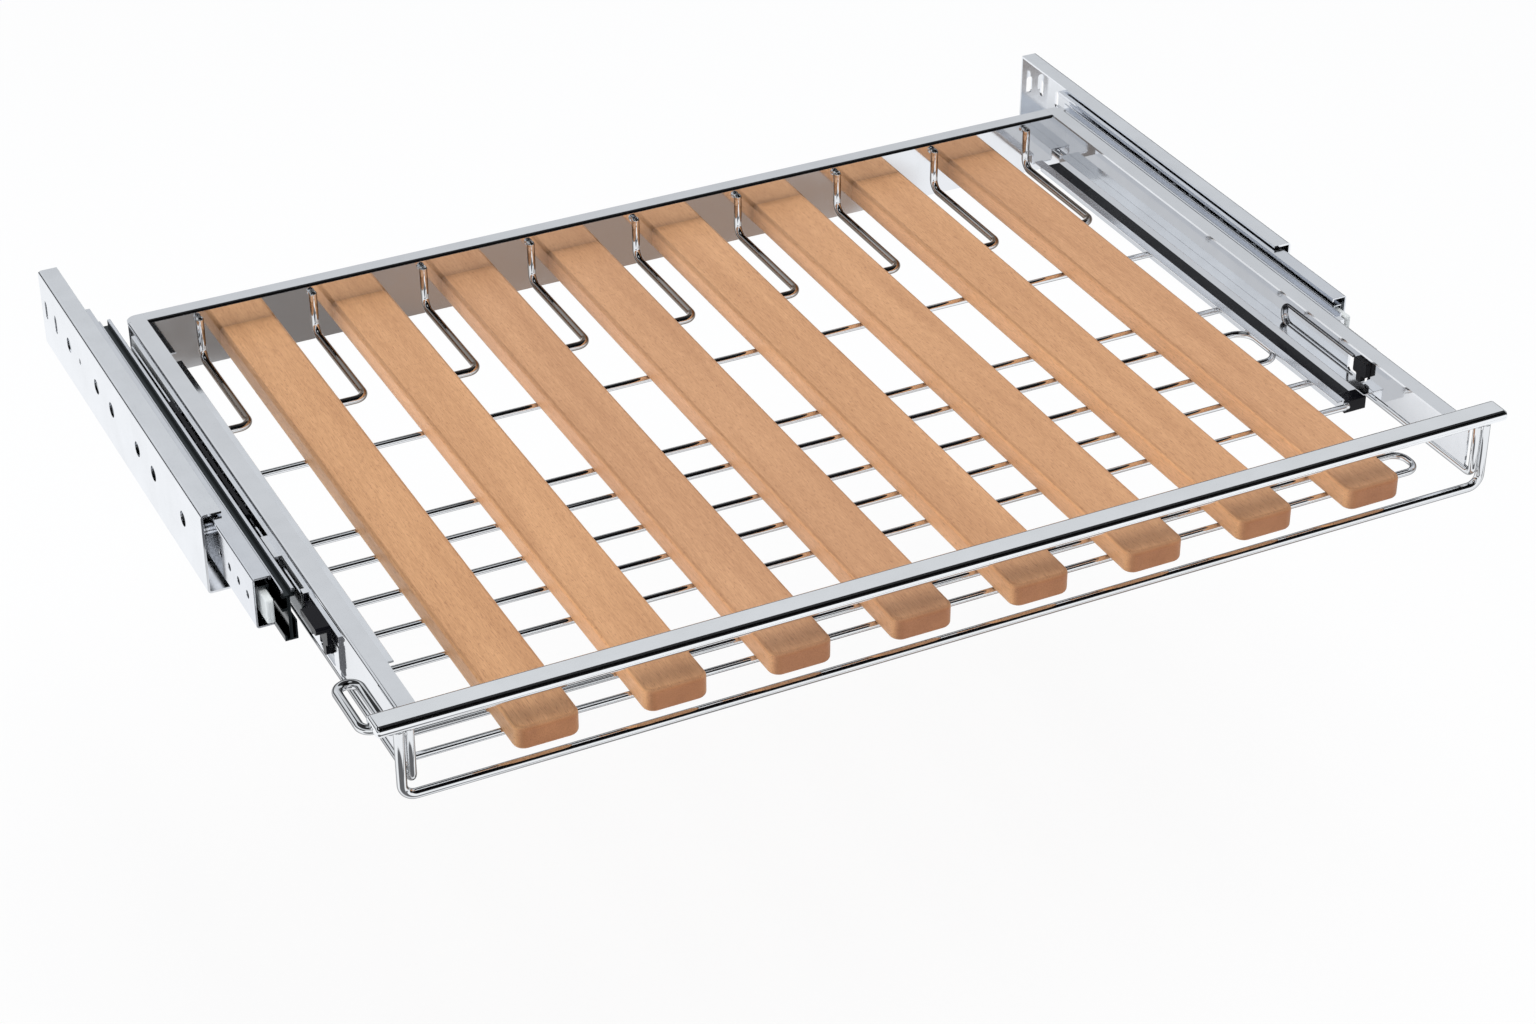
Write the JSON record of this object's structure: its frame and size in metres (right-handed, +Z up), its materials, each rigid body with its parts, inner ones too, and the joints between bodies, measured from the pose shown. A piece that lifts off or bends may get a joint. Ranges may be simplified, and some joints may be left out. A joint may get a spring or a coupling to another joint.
{
  "type": "pull-out rack",
  "caption": "Chrome wire pull-out rack with wooden slats between side rails, carried on two ball-bearing slides in cabinet brackets.",
  "frame": {"origin": "middle of the whole part in X and Y, at the underside of the cabinet brackets", "axes": "+Z up, the rack pulls out towards -Y, +X to the right when facing the rack from the front"},
  "size_m": [0.764, 0.594, 0.0626],
  "materials": {
    "zinc_steel": "zinc plated",
    "chrome": "bright chrome plate",
    "beech": "lacquered beech",
    "black_plastic": "moulded",
    "light_plastic": "moulded",
    "ball_steel": "polished balls"
  },
  "bodies": {
    "cabinet": {"cabinet_bracket_left": "zinc_steel", "cabinet_bracket_right": "zinc_steel", "cabinet_channel_left": "zinc_steel", "cabinet_channel_right": "zinc_steel", "channel_spacers_left": "zinc_steel", "channel_spacers_right": "zinc_steel"},
    "rack": {"rear_panel": "chrome", "side_rail_left": "chrome", "side_rail_right": "chrome", "front_bar": "chrome", "front_wire": "chrome", "side_rod_left": "chrome", "side_rod_right": "chrome", "cross_wires": "chrome", "hairpin_wire_middle": "chrome", "hairpin_wire_front": "chrome", "corner_loop": "chrome", "slat_screws": "zinc_steel", "slide_plate_left": "zinc_steel", "slide_plate_right": "zinc_steel", "carrier_channel_left": "zinc_steel", "carrier_channel_right": "zinc_steel", "channel_plug_left": "black_plastic", "channel_plug_right": "black_plastic", "lever_pin_left": "zinc_steel", "lever_pin_right": "zinc_steel", "slat_1": "beech", "slat_2": "beech", "slat_3": "beech", "slat_4": "beech", "slat_5": "beech", "slat_6": "beech", "slat_7": "beech", "slat_8": "beech", "rear_hook_1": "chrome", "rear_hook_2": "chrome", "rear_hook_3": "chrome", "rear_hook_4": "chrome", "rear_hook_5": "chrome", "rear_hook_6": "chrome", "rear_hook_7": "chrome", "rear_hook_8": "chrome", "rear_hook_9": "chrome"},
    "beam_left": {"intermediate_beam_left": "zinc_steel", "beam_nose_left": "light_plastic"},
    "outer_ball_row_left": {"outer_cage_left": "zinc_steel", "outer_balls_left": "ball_steel"},
    "inner_ball_row_left": {"inner_cage_left": "black_plastic", "inner_balls_left": "ball_steel"},
    "lever_left": {"release_lever_left": "black_plastic"},
    "beam_right": {"intermediate_beam_right": "zinc_steel", "beam_nose_right": "light_plastic"},
    "outer_ball_row_right": {"outer_cage_right": "zinc_steel", "outer_balls_right": "ball_steel"},
    "inner_ball_row_right": {"inner_cage_right": "black_plastic", "inner_balls_right": "ball_steel"},
    "lever_right": {"release_lever_right": "black_plastic"}
  },
  "joints": [
    {"name": "rack_slide", "type": "slide", "parent": "cabinet", "child": "rack", "axis": [0, -1, 0], "range_m": [-0.026, 0.324]},
    {"name": "beam_slide_left", "type": "slide", "parent": "cabinet", "child": "beam_left", "axis": [0, -1, 0], "range_m": [-0.013, 0.162]},
    {"name": "outer_cage_slide_left", "type": "slide", "parent": "cabinet", "child": "outer_ball_row_left", "axis": [0, -1, 0], "range_m": [-0.0065, 0.081]},
    {"name": "inner_cage_slide_left", "type": "slide", "parent": "cabinet", "child": "inner_ball_row_left", "axis": [0, -1, 0], "range_m": [-0.0195, 0.243]},
    {"name": "release_lever_turn_left", "type": "hinge", "parent": "rack", "child": "lever_left", "pos_m": [-0.3518, -0.147, 0.0425], "axis": [1, 0, 0], "range_deg": [-3, 3], "stiffness_Nm_per_rad": 0.5},
    {"name": "beam_slide_right", "type": "slide", "parent": "cabinet", "child": "beam_right", "axis": [0, -1, 0], "range_m": [-0.013, 0.162]},
    {"name": "outer_cage_slide_right", "type": "slide", "parent": "cabinet", "child": "outer_ball_row_right", "axis": [0, -1, 0], "range_m": [-0.0065, 0.081]},
    {"name": "inner_cage_slide_right", "type": "slide", "parent": "cabinet", "child": "inner_ball_row_right", "axis": [0, -1, 0], "range_m": [-0.0195, 0.243]},
    {"name": "release_lever_turn_right", "type": "hinge", "parent": "rack", "child": "lever_right", "pos_m": [0.3518, -0.147, 0.0425], "axis": [1, 0, 0], "range_deg": [-3, 3], "stiffness_Nm_per_rad": 0.5}
  ],
  "couplings": [
    {"joint": "beam_slide_left", "follows": "rack_slide", "ratio": 0.5},
    {"joint": "outer_cage_slide_left", "follows": "rack_slide", "ratio": 0.25},
    {"joint": "inner_cage_slide_left", "follows": "rack_slide", "ratio": 0.75},
    {"joint": "beam_slide_right", "follows": "rack_slide", "ratio": 0.5},
    {"joint": "outer_cage_slide_right", "follows": "rack_slide", "ratio": 0.25},
    {"joint": "inner_cage_slide_right", "follows": "rack_slide", "ratio": 0.75}
  ]
}
